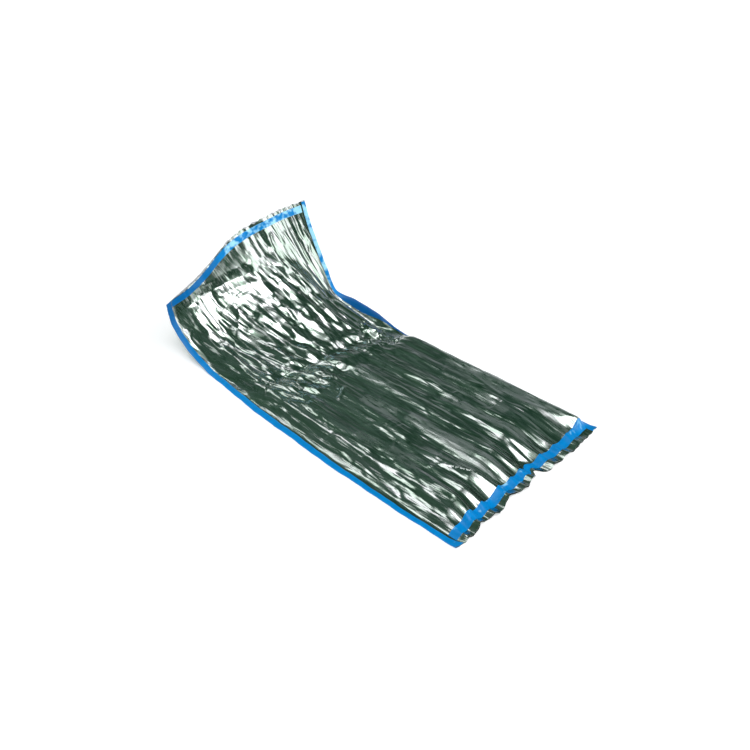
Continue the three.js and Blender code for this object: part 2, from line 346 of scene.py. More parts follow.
# Main folds: the foot's pleats, then those of the lying part, the bend and the head
FOLDS = (
    Fold((-0.44, 0.02), (-0.452, 0.42), (0.014, 0.004), 0.026),
    Fold((-0.355, 0.0), (-0.305, 0.52), (0.03, 0.004), 0.034),
    Fold((-0.265, 0.0), (-0.25, 0.43), (0.022, 0.003), 0.028),
    Fold((-0.15, 0.0), (-0.21, 0.5), (0.03, 0.004), 0.036),
    Fold((-0.06, 0.0), (-0.066, 0.62), (0.022, 0.005), 0.038),
    Fold((0.015, 0.0), (0.01, 0.38), (0.02, 0.002), 0.028),
    Fold((0.075, 0.0), (0.066, 0.33), (-0.016, -0.003), 0.026),
    Fold((0.15, 0.01), (0.138, 0.56), (0.018, 0.004), 0.034),
    Fold((0.25, 0.01), (0.258, 0.38), (0.014, 0.003), 0.03),
    Fold((0.345, 0.02), (0.335, 0.46), (0.013, 0.003), 0.032),
    Fold((-0.335, 0.62), (-0.3, 1.12), (0.007, 0.005), 0.036),
    Fold((-0.17, 0.56), (-0.11, 1.08), (0.009, 0.005), 0.04),
    Fold((0.04, 0.48), (0.07, 1.12), (0.008, 0.006), 0.038),
    Fold((0.205, 0.56), (0.19, 1.1), (0.008, 0.004), 0.036),
    Fold((0.32, 0.42), (0.31, 1.0), (0.007, 0.004), 0.034),
    Fold((0.33, 1.215), (-0.34, 1.29), (-0.015, -0.009), 0.032),
    Fold((0.29, 1.13), (-0.23, 1.185), (0.009, 0.005), 0.034),
    Fold((0.35, 1.24), (0.3, 1.33), (0.016, 0.004), 0.03),
    Fold((-0.39, 1.29), (-0.33, 1.64), (0.011, 0.006), 0.03),
    Fold((-0.29, 1.3), (-0.21, 1.68), (0.014, 0.007), 0.034),
    Fold((-0.17, 1.29), (-0.08, 1.64), (0.014, 0.006), 0.036),
    Fold((-0.05, 1.28), (0.01, 1.56), (0.012, 0.005), 0.034),
    Fold((0.09, 1.3), (0.13, 1.7), (0.011, 0.007), 0.036),
    Fold((0.23, 1.38), (0.24, 1.78), (0.009, 0.007), 0.034),
    Fold((0.33, 1.56), (-0.06, 1.7), (-0.01, -0.006), 0.036),
    Fold((0.04, 1.68), (0.03, 2.06), (0.008, 0.008), 0.034),
    Fold((0.18, 1.8), (0.19, 2.08), (0.009, 0.009), 0.032),
    Fold((-0.13, 1.76), (-0.18, 2.06), (0.008, 0.006), 0.036),
)

# Where the pleats gather the foot edge
GATHERS = (
    Gather(0.074, 0.034, 0.022),
    Gather(0.005, 0.01, 0.026),
    Gather(-0.118, 0.013, 0.022),
    Gather(0.29, -0.009, 0.1),
)

# Sharp creases that are placed one by one: the sides of the foot's pleats and the streaks beside them, the
# streaks and the Y of the bend, the broad creases of the head's left half and a short one on the lying part
CREASES = (
    Fold((-0.305, 0.33), (-0.335, 0.07), (0.0025, 0.017), 0.03, 0.35, 0.15),
    Fold((-0.205, 0.3), (-0.13, 0.05), (0.0025, 0.016), 0.028, 0.35, 0.15),
    Fold((-0.258, 0.25), (-0.255, 0.06), (0.002, 0.011), 0.02, 0.35, 0.2),
    Fold((-0.462, 0.32), (-0.452, 0.07), (0.002, 0.005), 0.016),
    Fold((-0.07, 0.33), (-0.06, 0.05), (0.002, 0.009), 0.02),
    Fold((0.01, 0.25), (0.012, 0.05), (0.002, 0.008), 0.016),
    Fold((0.158, 0.31), (0.15, 0.06), (0.002, 0.008), 0.018),
    Fold((0.253, 0.24), (0.246, 0.04), (0.002, 0.007), 0.016),
    Fold((0.35, 0.3), (0.345, 0.05), (0.002, 0.006), 0.018),
    Fold((0.118, 0.2), (0.112, 0.06), (-0.003, -0.008), 0.013),
    Fold((0.05, 0.36), (0.044, 0.16), (0.002, 0.004), 0.01),
    Fold((0.125, 0.38), (0.115, 0.21), (0.002, 0.004), 0.01),
    Fold((0.205, 0.44), (0.195, 0.2), (0.002, 0.004), 0.01),
    Fold((0.285, 0.42), (0.275, 0.17), (0.002, 0.0045), 0.01),
    Fold((0.315, 0.33), (0.318, 0.12), (0.002, 0.004), 0.009),
    Fold((0.395, 0.32), (0.388, 0.1), (0.002, 0.004), 0.01),
    Fold((-0.41, 1.66), (-0.4, 1.32), (0.008, 0.0085), 0.016),
    Fold((-0.345, 1.66), (-0.33, 1.32), (0.006, 0.006), 0.018),
    Fold((-0.3, 1.66), (-0.235, 1.31), (0.006, 0.006), 0.018),
    Fold((-0.25, 1.7), (-0.19, 1.33), (0.005, 0.005), 0.016),
    Fold((-0.2, 1.68), (-0.15, 1.47), (0.006, 0.006), 0.018),
    Fold((-0.15, 1.5), (-0.115, 1.27), (0.006, 0.008), 0.02),
    Fold((-0.09, 1.66), (-0.06, 1.36), (0.005, 0.005), 0.016),
    Fold((0.003, 1.73), (0.0, 1.48), (0.006, 0.006), 0.018),
    Fold((0.06, 1.6), (0.03, 1.3), (0.005, 0.005), 0.016),
    Fold((0.12, 1.55), (0.1, 1.27), (0.005, 0.006), 0.016),
    Fold((0.17, 1.66), (0.165, 1.3), (0.006, 0.006), 0.018),
    Fold((0.23, 1.6), (0.22, 1.33), (0.005, 0.005), 0.016),
    Fold((0.29, 1.55), (0.3, 1.3), (0.005, 0.005), 0.016),
    Fold((0.157, 1.79), (0.164, 1.66), (-0.005, -0.005), 0.014),
    Fold((0.204, 2.0), (0.191, 1.85), (-0.006, -0.005), 0.016),
    Fold((-0.331, 1.3), (-0.4, 1.25), (0.006, 0.003), 0.014),
    Fold((-0.331, 1.3), (-0.29, 1.2), (0.006, 0.003), 0.014),
    Fold((-0.34, 2.02), (0.03, 1.86), (-0.011, -0.012), 0.05),
    Fold((-0.335, 1.76), (-0.325, 1.95), (0.02, 0.02), 0.2, 0.14),
    Fold((0.05, 1.7), (0.045, 1.5), (-0.006, -0.006), 0.013),
    Fold((0.1, 1.76), (0.09, 1.56), (-0.006, -0.006), 0.013),
    Fold((-0.04, 1.74), (-0.03, 1.46), (-0.007, -0.007), 0.016),
    Fold((0.22, 1.76), (0.2, 1.5), (-0.006, -0.006), 0.014),
    Fold((-0.12, 1.7), (-0.08, 1.44), (-0.007, -0.007), 0.016),
    Fold((-0.1, 0.98), (-0.18, 0.94), (0.004, 0.005), 0.012),
)

# Fine creases of both panels that are drawn at random, in this order
UPPER_STRETCHES = (
    CreaseZone((-0.45, 0.45), (0.02, 0.4), 40, (0.1, 0.3), (0.01, 0.02), (0.0015, 0.004), 0.1, 0.45),
    CreaseZone((-0.45, 0.45), (0.35, 1.22), 80, (0.09, 0.34), (0.007, 0.02), (0.0008, 0.0027), 0.2, 0.45),
    CreaseZone((-0.45, 0.45), (0.3, 1.22), 70, (0.03, 0.08), (0.007, 0.011), (0.0015, 0.0036), 0.8, 0.4),
    CreaseZone((-0.44, 0.44), (1.25, 2.04), 40, (0.06, 0.16), (0.01, 0.018), (0.001, 0.004), 0.7, 0.5),
    CreaseZone((0.22, 0.4), (1.08, 1.34), 50, (0.03, 0.09), (0.008, 0.014), (0.003, 0.007), 1.2, 0.4),
    CreaseLanes((-0.45, 0.45), (0.3, 1.2), (0.016, 0.036), (0.14, 0.42), (0.0005, 0.002), 0.0, 0.5),
    CreaseLanes((-0.5, 0.5), (1.26, 1.66), (0.034, 0.06), (0.16, 0.34), (0.003, 0.007), -0.25, 0.4),
    CreaseLanes((-0.48, 0.48), (1.66, 2.03), (0.024, 0.044), (0.1, 0.24), (0.0015, 0.005), -0.12, 0.5),
    CreaseLanes((-0.36, 0.3), (1.12, 1.34), (0.03, 0.055), (0.1, 0.2), (0.003, 0.007), -0.3, 0.4),
)

LOWER_STRETCHES = (
    CreaseZone((-0.44, 0.44), (1.3, 2.04), 380, (0.04, 0.18), (0.008, 0.017), (0.0015, 0.005), 0.45, 0.5),
)

# Width of the side tapes' upper legs at distances from the foot
LEFT_LEGS = (
    (0.0, 0.038), (0.06, 0.024), (0.16, 0.021), (0.5, 0.022),
    (0.85, 0.03), (1.2, 0.034), (2.1, 0.032),
)
RIGHT_LEGS = (
    (0.0, 0.034), (1.0, 0.03), (1.15, 0.008), (1.3, 0.014),
    (1.42, 0.03), (1.6, 0.03), (2.1, 0.024),
)

# Painted light on the tape, along the side tapes and across the strips: a painted highlight above zero,
# painted shade below
LEFT_PAINTED_LIGHT = ((0.0, 0.25), (0.1, 0.05), (0.5, 0.1), (1.5, 0.05), (1.75, -0.3), (2.0, -0.6), (2.1, -0.6))
RIGHT_PAINTED_LIGHT = ((0.0, 0.15), (1.2, -0.8), (1.55, -0.7), (1.65, 0.3), (1.9, 0.45), (2.1, 0.4))
FOOT_PAINTED_LIGHT = ((-0.5, 0.1), (0.0, 0.25), (0.1, 0.1), (0.5, 0.2))
HEAD_PAINTED_LIGHT = ((-0.5, -0.6), (-0.15, -0.4), (-0.05, 0.35), (0.3, 0.38), (0.5, 0.45))

# Reach of the foot's loose lobes at places across, as a share of the flap's length
FOOT_LOBES = (
    (-0.5, 0.75), (-0.45, 1.0), (-0.38, 1.15), (-0.335, 0.65), (-0.3, 0.8), (-0.25, 1.15), (-0.19, 1.0),
    (-0.15, 0.6), (-0.12, 0.85), (-0.05, 1.15), (0.02, 0.95), (0.06, 0.5), (0.09, 1.1), (0.13, 1.25),
    (0.22, 1.05), (0.36, 1.1), (0.5, 1.0),
)

# Places where the film lies calmer than around them
CALM = (
    Wedge((-0.3, 2.06), (-0.08, 2.0), (0.06, 0.07), 0.85),
    Wedge((-0.43, 2.08), (-0.4, 1.9), (0.06, 0.04), 0.7),
    Wedge((-0.2, 0.85), (0.2, 1.0), (0.16, 0.16), 0.35),
    Wedge((-0.38, 1.28), (-0.22, 1.5), (0.13, 0.13), 0.7),
)

# Streaks of the film with a painted reflection of the sky: its colour turns to pale silver there, and it is
# rougher
PAINTED_REFLECTIONS = (
    Wedge((-0.1, 0.84), (-0.09, 0.72), (0.035, 0.04), 0.8),
    Wedge((-0.06, 0.62), (-0.08, 0.3), (0.03, 0.05), 0.8),
    Wedge((-0.1, 0.28), (-0.08, 0.14), (0.04, 0.05), 0.6),
    Wedge((0.4, 0.75), (0.4, 0.1), (0.04, 0.06), 0.7),
    Wedge((0.16, 0.6), (0.18, 0.2), (0.025, 0.04), 0.6),
    Wedge((0.28, 0.7), (0.27, 0.35), (0.03, 0.03), 0.5),
    Wedge((-0.3, 0.7), (-0.28, 0.4), (0.03, 0.04), 0.5),
    Wedge((0.05, 1.05), (0.03, 0.8), (0.03, 0.03), 0.4),
)


def smoothstep(value: Array, low: float, high: float) -> Array:
    """Smooth ramp from 0 at low to 1 at high: t squared times (3 - 2t) of the clipped share t.

    Args:
        value: Numbers to place on the ramp.
        low: Where the ramp starts.
        high: Where the ramp ends.

    Returns:
        The ramp at each number.
    """
    share = np.clip((value - low) / (high - low), 0.0, 1.0)
    return share * share * (3.0 - 2.0 * share)


def plateau(value: Array, stops: Stops) -> Array:
    """Smooth ramp up between the first two stops and down between the last two."""
    return smoothstep(value, *stops[:2]) * (1.0 - smoothstep(value, *stops[2:]))


def lerp(first: Array, second: Array, share: Array) -> Array:
    """Value a share of the way from the first to the second."""
    return first + (second - first) * share


def read(table: Table, places: Array) -> Array:
    """Values of a table at some places, changing evenly from one row to the next."""
    return np.interp(places, *zip(*table))


def swing(waves: tuple[Wave, ...], place: Array) -> Array:
    """Sum of waves at places along a line."""
    return sum(wave.at(place) for wave in waves)


def unit(vectors: Array) -> Array:
    """Vectors brought to length one."""
    return vectors / np.linalg.norm(vectors, axis=-1, keepdims=True)


def normals_of(points: Array) -> Array:
    """Unit normals of a grid of points: the cross product of its differences across and along."""
    return unit(np.cross(np.gradient(points, axis=1), np.gradient(points, axis=0)))


def window(places: Array, ends: Span, margin: float) -> slice:
    """The part of some rising places that lies between two ends, with a margin."""
    return slice(*np.searchsorted(places, (min(ends) - margin, max(ends) + margin)))


def streaks(wedges: tuple[Wedge, ...], grid: Grid) -> Array:
    """Share of the film that streaks cover: each fades smoothly at its sides and ends, and the most holds.

    Args:
        wedges: The streaks.
        grid: Places on the flat bag.

    Returns:
        Shares of shape (rows, columns).
    """
    share = grid.zeros()
    for wedge in wedges:
        part, distance = wedge.near(grid)
        faded = smoothstep(distance / lerp(*wedge.half, part), *STREAK_EDGE)
        share = np.maximum(share, wedge.share * (1.0 - faded))
    return share


def centripetal(knots: Array, fraction: Array) -> Array:
    """Points of centripetal Catmull-Rom curves, many curves at once.

    Each span between two knots is a cubic whose end tangents weigh the neighbouring chords by the square
    roots of their lengths. The first and last chord are carried on straight for the end tangents.

    Args:
        knots: Knots of shape (knots, curves, 3).
        fraction: Shares of the way along the curves, from 0 to 1.

    Returns:
        Points of shape (fractions, curves, 3).
    """
    last = len(knots) - 1
    before = 2.0 * knots[:1] - knots[1:2]
    after = 2.0 * knots[-1:] - knots[-2:-1]
    padded = np.concatenate([before, knots, after])
    span = np.clip(np.floor(fraction * last).astype(int), 0, last - 1)
    part = (fraction * last - span)[:, None, None]
    # The four knots around each span, and the square roots of the lengths of the chords between them
    corners = [padded[span + step] for step in range(4)]
    p0, p1, p2, p3 = corners
    chords = [second - first for first, second in zip(corners, corners[1:])]
    d0, d1, d2 = (np.sqrt(np.linalg.norm(chord, axis=-1, keepdims=True)) for chord in chords)
    leaving = d1 * ((p1 - p0) / d0 - (p2 - p0) / (d0 + d1) + (p2 - p1) / d1)
    arriving = d1 * ((p2 - p1) / d1 - (p3 - p1) / (d1 + d2) + (p3 - p2) / d2)
    square = 3.0 * (p2 - p1) - 2.0 * leaving - arriving
    cube = 2.0 * (p1 - p2) + leaving + arriving
    return p1 + part * (leaving + part * (square + part * cube))


@dataclass(frozen=True)
class Lie:
    """How the bag lies: the surface under its lower panel, as a function of the place on the flat bag."""

    sections: tuple[Section, ...] = SECTIONS
    gathers: tuple[Gather, ...] = GATHERS
    gather_length: float = 0.17
    furrow_inset: float = 0.05
    furrow_half: float = 0.034
    furrow_depth: float = 0.052
    furrow_along: Stops = (1.16, 1.34, 1.49, 1.67)
    edge_waves: tuple[Wave, ...] = (Wave(0.43, 0.0015, 0.4), Wave(0.19, 0.001, 1.8), Wave(0.083, 0.0006, 0.9))
    edge_width: float = 0.12

    def points(self, grid: Grid) -> Array:
        """Points of the lie: curves across through five curves along.

        The foot edge is gathered, and no point lies below the floor.

        Args:
            grid: Places on the flat bag.

        Returns:
            Points of shape (rows, columns, 3).
        """
        knots = np.array([row.points for row in self.sections], dtype=float)
        stations = [row.along for row in self.sections]
        fraction = np.interp(grid.along, stations, np.linspace(0.0, 1.0, len(stations)))
        rails = centripetal(knots, fraction).transpose(1, 0, 2)
        share = np.clip(grid.across / BAG_WIDTH + 0.5, 0.0, 1.0)
        points = centripetal(rails, share).transpose(1, 0, 2).copy()
        beside = smoothstep(np.abs(grid.columns), HALF_WIDTH - self.edge_width, HALF_WIDTH)
        points[..., 0] += swing(self.edge_waves, grid.rows) * beside
        points[..., 1] += self.gathered(grid)
        points[..., 2] = np.maximum(points[..., 2] - self.furrow(grid), 0.0)
        return points

    def gathered(self, grid: Grid) -> Array:
        """How far the pleats draw the foot edge back: a sum of bells that fades away from the foot.

        Args:
            grid: Places on the flat bag.

        Returns:
            Distances of shape (rows, columns).
        """
        away = [(grid.columns - row.across) / row.half for row in self.gathers]
        bells = sum(row.back * np.exp(-(part**2)) for row, part in zip(self.gathers, away))
        return bells * (1.0 - smoothstep(grid.rows, 0.0, self.gather_length))

    def furrow(self, grid: Grid) -> Array:
        """Depth of the furrow beside the right edge of the bend: a bell across, faded at both ends."""
        away = (HALF_WIDTH - grid.columns - self.furrow_inset) / self.furrow_half
        return self.furrow_depth * plateau(grid.rows, self.furrow_along) * np.exp(-(away**2))

    def directions(self, grid: Grid) -> tuple[Array, Array]:
        """Directions of the lie by small differences.

        Args:
            grid: Places on the flat bag.

        Returns:
            Unit vectors across the bag and out of it, each of shape (rows, columns, 3).
        """
        step = DIFFERENCE_STEP
        sideways = unit(self.points(grid.moved(step, 0.0)) - self.points(grid.moved(-step, 0.0)))
        forward = self.points(grid.moved(0.0, step)) - self.points(grid.moved(0.0, -step))
        return sideways, unit(np.cross(sideways, forward))


@dataclass(frozen=True)
class SoftFolds:
    """The main folds of the film as soft ridges and troughs."""

    folds: tuple[Fold, ...] = FOLDS

    def height(self, grid: Grid) -> Array:
        """Sum of the folds: each is a bell about its line, its rise changing evenly from end to end.

        Args:
            grid: Places on the flat bag.

        Returns:
            Heights of shape (rows, columns), none under the side tapes.
        """
        total = grid.zeros()
        for fold in self.folds:
            part, distance = fold.near(grid)
            total += lerp(*fold.rise, part) * np.exp(-((distance / fold.half) ** 2))
        return total * smoothstep(grid.inset, UPPER_LEG, UPPER_LEG + FOLD_BORDER)


@dataclass(frozen=True)
class SharpCreases:
    """Fine creases of a panel: some placed one by one, the rest drawn at random stretch by stretch."""

    placed: tuple[Fold, ...]
    stretches: tuple[CreaseZone | CreaseLanes, ...]
    calm: tuple[Wedge, ...]
    seed: int
    border: Span = (0.03, 0.062)
    averaged: tuple[float, ...] = (-0.0026, -0.0009, 0.0009, 0.0026)

    def drawn(self) -> list[Fold]:
        """Creases of all the stretches, from one source of random numbers."""
        random = np.random.default_rng(self.seed)
        return [crease for stretch in self.stretches for crease in stretch.draw(random)]

    def roofs(self, creases: tuple[Fold, ...] | list[Fold], grid: Grid) -> Array:
        """Sum of creases: each is a hip roof that falls evenly from its ridge to both sides and both ends.

        A block of the grid around each crease is worked out, not the whole grid.

        Args:
            creases: The creases.
            grid: Places on the flat bag.

        Returns:
            Heights of shape (rows, columns).
        """
        height = grid.zeros()
        for crease in creases:
            widest = 2 * crease.half
            columns = window(grid.across, (crease.start[0], crease.end[0]), widest)
            rows = window(grid.along, (crease.start[1], crease.end[1]), widest)
            run, away, part, length = crease.beside(grid.columns[:, columns], grid.rows[rows])
            reach = widest * lerp(crease.narrow, 1.0, part)
            sides = 1.0 - np.where(away < 0.0, -away / crease.lean, away / (1.0 - crease.lean)) / reach
            ends = np.minimum(run, length - run) / reach + 0.5
            roof = np.clip(np.minimum(sides, ends), 0.0, 1.0)
            height[rows, columns] += lerp(*crease.rise, part) * roof
        return height

    def height(self, grid: Grid) -> Array:
        """Height of the placed creases and, less in calm places, of the drawn ones, none beside the edges.

        Each height is the mean of some places across a cell, so that a slanting crease comes out even.

        Args:
            grid: Places on the flat bag.

        Returns:
            Heights of shape (rows, columns).
        """
        drawn = self.drawn()
        lively = 1.0 - streaks(self.calm, grid)
        total = grid.zeros()
        for shift in self.averaged:
            moved = grid.moved(shift, 0.0)
            total += self.roofs(self.placed, moved)
            total += self.roofs(drawn, moved) * lively
        return total / len(self.averaged) * smoothstep(grid.inset, *self.border)


class Wire:
    """A node's output that takes part in Python expressions on values."""

    def __init__(self, nodes: "Nodes", socket: bpy.types.NodeSocket) -> None:
        """Keep the output and the tree that it belongs to."""
        self.nodes = nodes
        self.socket = socket

    def math(self, operation: str, *values: "Wire | float", clamp: bool = False) -> "Wire":
        """Result of a Math node on some values."""
        settings = {"operation": operation, "use_clamp": clamp}
        return self.nodes.node("ShaderNodeMath", settings, dict(enumerate(values)))

    def __add__(self, other: "Wire | float") -> "Wire":
        """Sum."""
        return self.math("ADD", self, other)

    def __radd__(self, other: float) -> "Wire":
        """Sum with a number on the left."""
        return self.math("ADD", other, self)

    def __sub__(self, other: "Wire | float") -> "Wire":
        """Difference."""
        return self.math("SUBTRACT", self, other)

    def __rsub__(self, other: float) -> "Wire":
        """Difference from a number on the left."""
        return self.math("SUBTRACT", other, self)

    def __mul__(self, other: "Wire | float") -> "Wire":
        """Product."""
        return self.math("MULTIPLY", self, other)

    def __rmul__(self, other: float) -> "Wire":
        """Product with a number on the left."""
        return self.math("MULTIPLY", other, self)

    def clipped(self) -> "Wire":
        """The value held between 0 and 1."""
        return self.math("ADD", self, 0.0, clamp=True)


@dataclass(frozen=True)
class Pattern:
    """A noise over the flat bag: its scale across and along, and its detail."""

    scale: Triple
    detail: float


class Nodes:
    """A tree of shader nodes, emptied and filled again."""

    def __init__(self, tree: bpy.types.NodeTree) -> None:
        """Empty the tree."""
        self.tree = tree
        tree.nodes.clear()

    def node(self, kind: str, settings: Settings, sockets: Sockets, output: int | str = 0) -> Wire:
        """Add a node of any type.

        Args:
            kind: The node's type.
            settings: Its settings, which are set first.
            sockets: Values or links of its inputs, by name or place.
            output: Which output to hand on.

        Returns:
            The chosen output.
        """
        made = self.tree.nodes.new(kind)
        for name, value in settings.items():
            setattr(made, name, value)
        for key, value in sockets.items():
            if isinstance(value, Wire):
                self.tree.links.new(value.socket, made.inputs[key])
            else:
                made.inputs[key].default_value = value
        return Wire(self, made.outputs[output])

    def end(self, kind: str, shader: Wire) -> None:
        """Link a shader to an output node of some type."""
        self.tree.links.new(shader.socket, self.tree.nodes.new(kind).inputs["Surface"])

    def blend(self, share: Wire, first: Wire | Colour, second: Wire | Colour) -> Wire:
        """Colour a share of the way from the first to the second."""
        sockets = {"Factor": share, MIX_FIRST: first, MIX_SECOND: second}
        return self.node("ShaderNodeMix", {"data_type": "RGBA"}, sockets, MIX_RESULT)

    def flat(self, scale: Triple) -> Wire:
        """Places on the flat bag, with their own scale across and along."""
        places = self.node("ShaderNodeUVMap", {"uv_map": "flat"}, {})
        return self.node("ShaderNodeMapping", {}, {"Vector": places, "Scale": scale})

    def noise(self, pattern: Pattern) -> Wire:
        """Noise over the flat bag."""
        values = {"Scale": 1.0, "Detail": pattern.detail, "Roughness": NOISE_ROUGHNESS}
        return self.node("ShaderNodeTexNoise", {}, values | {"Vector": self.flat(pattern.scale)}, "Fac")

    def facets(self, scale: Triple) -> Wire:
        """Flat facets with straight edges: the distance in from the edges of random cells of the flat bag.

        Args:
            scale: Cells for each metre across and along.

        Returns:
            The distance.
        """
        settings = {"voronoi_dimensions": "2D", "feature": "DISTANCE_TO_EDGE"}
        sockets = {"Vector": self.flat(scale), "Scale": 1.0}
        return self.node("ShaderNodeTexVoronoi", settings, sockets, "Distance")

    def attribute(self, name: str) -> Wire:
        """A value stored at the mesh's points."""
        return self.node("ShaderNodeAttribute", {"attribute_name": name}, {}, "Fac")

    def bump(self, height: Wire, strength: float, depth: float) -> Wire:
        """Normals roughened by a height."""
        sockets = {"Strength": strength, "Distance": depth, "Height": height}
        return self.node("ShaderNodeBump", {}, sockets, "Normal")


class Finish(Nodes):
    """A material built from nodes."""

    def __init__(self, name: str) -> None:
        """Start an empty material.

        Args:
            name: The material's name.
        """
        self.material = bpy.data.materials.new(name)
        self.material.use_nodes = True
        super().__init__(self.material.node_tree)

    def surface(self, sockets: Sockets) -> bpy.types.Material:
        """End the material in a Principled shader with these values and links."""
        self.end("ShaderNodeOutputMaterial", self.node("ShaderNodeBsdfPrincipled", {}, sockets))
        return self.material


@dataclass(frozen=True)
class FilmFinish:
    """Metallised film in fine facets under a thin green lacquer: paler and duller where a reflection of the
    sky is painted, satin inside.

    The lacquer's tint follows the streaks, and the painted sky reflection shows in flecks and streaks.
    Both are gains times noises, less a level.
    """

    name: str
    lacquer: Colour = (0.45, 0.46, 0.465, 1.0)
    lacquer_deep: Colour = (0.26, 0.36, 0.28, 1.0)
    # Pale silver of the painted sky reflection, and the most of it that shows
    painted_reflection: Colour = (0.9, 0.91, 0.92, 1.0)
    painted_reflection_share: float = 0.3
    satin: Colour = (0.72, 0.74, 0.75, 1.0)
    fleck: Pattern = Pattern((75.0, 22.0, 1.0), 4.0)
    streak: Pattern = Pattern((34.0, 4.5, 1.0), 3.0)
    speckle: Pattern = Pattern((210.0, 75.0, 1.0), 2.0)
    facet_scale: Triple = (36.0, 6.0, 1.0)
    fine_scale: Triple = (85.0, 9.0, 1.0)
    facet_depth: float = 0.0018
    fine_depth: float = 0.0006
    speckle_depth: float = 0.00012
    # Gains and level of the flecks and streaks in which the painted sky reflection shows
    reflection_fleck_gain: float = 3.2
    reflection_streak_gain: float = 2.0
    reflection_level: float = 1.8
    tint_gain: float = 2.2
    tint_level: float = 0.6
    roughness: Span = (0.1, 0.22)
    painted_reflection_roughness: float = 0.3
    satin_roughness: float = 0.2
    satin_metal: float = 0.4

    def material(self) -> bpy.types.Material:
        """Build the material.

        Returns:
            Lacquered metal that turns to a painted sky reflection and to the satin finish by stored shares.
        """
        finish = Finish(self.name)
        fleck = finish.noise(self.fleck)
        streak = finish.noise(self.streak)
        facets = finish.facets(self.facet_scale) * self.facet_depth
        fine = finish.facets(self.fine_scale) * self.fine_depth
        speckle = finish.noise(self.speckle) * self.speckle_depth
        satin = finish.attribute("satin")
        # Painted sky reflection: pale silver flecks and streaks in the stored places
        reflection_flecks = fleck * self.reflection_fleck_gain + streak * self.reflection_streak_gain - self.reflection_level
        painted_reflection = finish.attribute("painted_reflection") * reflection_flecks.clipped()
        tint = streak * self.tint_gain - self.tint_level
        lacquer = finish.blend(tint.clipped(), self.lacquer_deep, self.lacquer)
        outside = finish.blend(painted_reflection * self.painted_reflection_share, lacquer, self.painted_reflection)
        low, high = self.roughness
        dull = painted_reflection * self.painted_reflection_roughness + satin * self.satin_roughness
        return finish.surface(
            {
                "Base Color": finish.blend(satin, outside, self.satin),
                "Metallic": 1.0 - satin * (1.0 - self.satin_metal),
                "Roughness": streak * (high - low) + low + dull,
                "Normal": finish.bump(facets + fine + speckle, strength=1.0, depth=1.0),
            }
        )


@dataclass(frozen=True)
class TapeFinish:
    """Glossy blue tape, with painted highlights in pale dashes and painted shade in deeper stretches."""

    name: str
    blue: Colour = (0.0, 0.26, 0.68, 1.0)
    dull: Colour = (0.0, 0.195, 0.52, 1.0)
    # Deep blue of the painted shade, and pale cyan of the painted highlights
    deep: Colour = (0.0, 0.05, 0.2, 1.0)
    pale: Colour = (0.36, 0.75, 0.95, 1.0)
    mottle: Pattern = Pattern((30.0, 30.0, 1.0), 3.0)
    mottle_gain: float = 1.8
    mottle_level: float = 0.4
    # Noise, gain and level of the dashes of painted highlight
    highlight_dash: Pattern = Pattern((24.0, 24.0, 1.0), 2.0)
    highlight_dash_gain: float = 6.0
    highlight_dash_level: float = 0.8
    wrinkle: Pattern = Pattern((140.0, 140.0, 1.0), 2.0)
    wrinkle_strength: float = 0.2
    wrinkle_depth: float = 0.001
    roughness: Span = (0.25, 0.4)
    shine: float = 0.2

    def material(self) -> bpy.types.Material:
        """Build the material.

        Returns:
            Blue plastic whose colour varies softly at random, with a stored share of painted light that turns
            it pale in painted highlights or deep in painted shade.
        """
        finish = Finish(self.name)
        mottle = finish.noise(self.mottle)
        painted_light = finish.attribute("painted_light")
        # Painted highlights: pale dashes where the noise and the stored painted light are high
        highlight_dash = (finish.noise(self.highlight_dash) + painted_light - self.highlight_dash_level) * self.highlight_dash_gain
        mottled = mottle * self.mottle_gain - self.mottle_level
        blue = finish.blend(mottled.clipped(), self.dull, self.blue)
        # Painted shade: deep blue where the stored painted light is below zero
        shaded = finish.blend((0.0 - painted_light).clipped(), blue, self.deep)
        low, high = self.roughness
        return finish.surface(
            {
                "Base Color": finish.blend(highlight_dash.clipped(), shaded, self.pale),
                "Roughness": mottle * (high - low) + low,
                "Specular IOR Level": self.shine,
                "Normal": finish.bump(finish.noise(self.wrinkle), self.wrinkle_strength, self.wrinkle_depth),
            }
        )


@dataclass(frozen=True)
class FloorFinish:
    """Plain pale matt floor that glows a little, so that it stays white around the bag."""

    name: str = "pale_floor"
    colour: Colour = (0.95, 0.95, 0.95, 1.0)
    roughness: float = 0.9
    shine: float = 0.1
    glow: float = 0.25

    def material(self) -> bpy.types.Material:
        """Build the material.

        Returns:
            A matt surface of one pale colour.
        """
        matt = {"Base Color": self.colour, "Roughness": self.roughness, "Specular IOR Level": self.shine}
        glow = {"Emission Color": self.colour, "Emission Strength": self.glow}
        return Finish(self.name).surface(matt | glow)


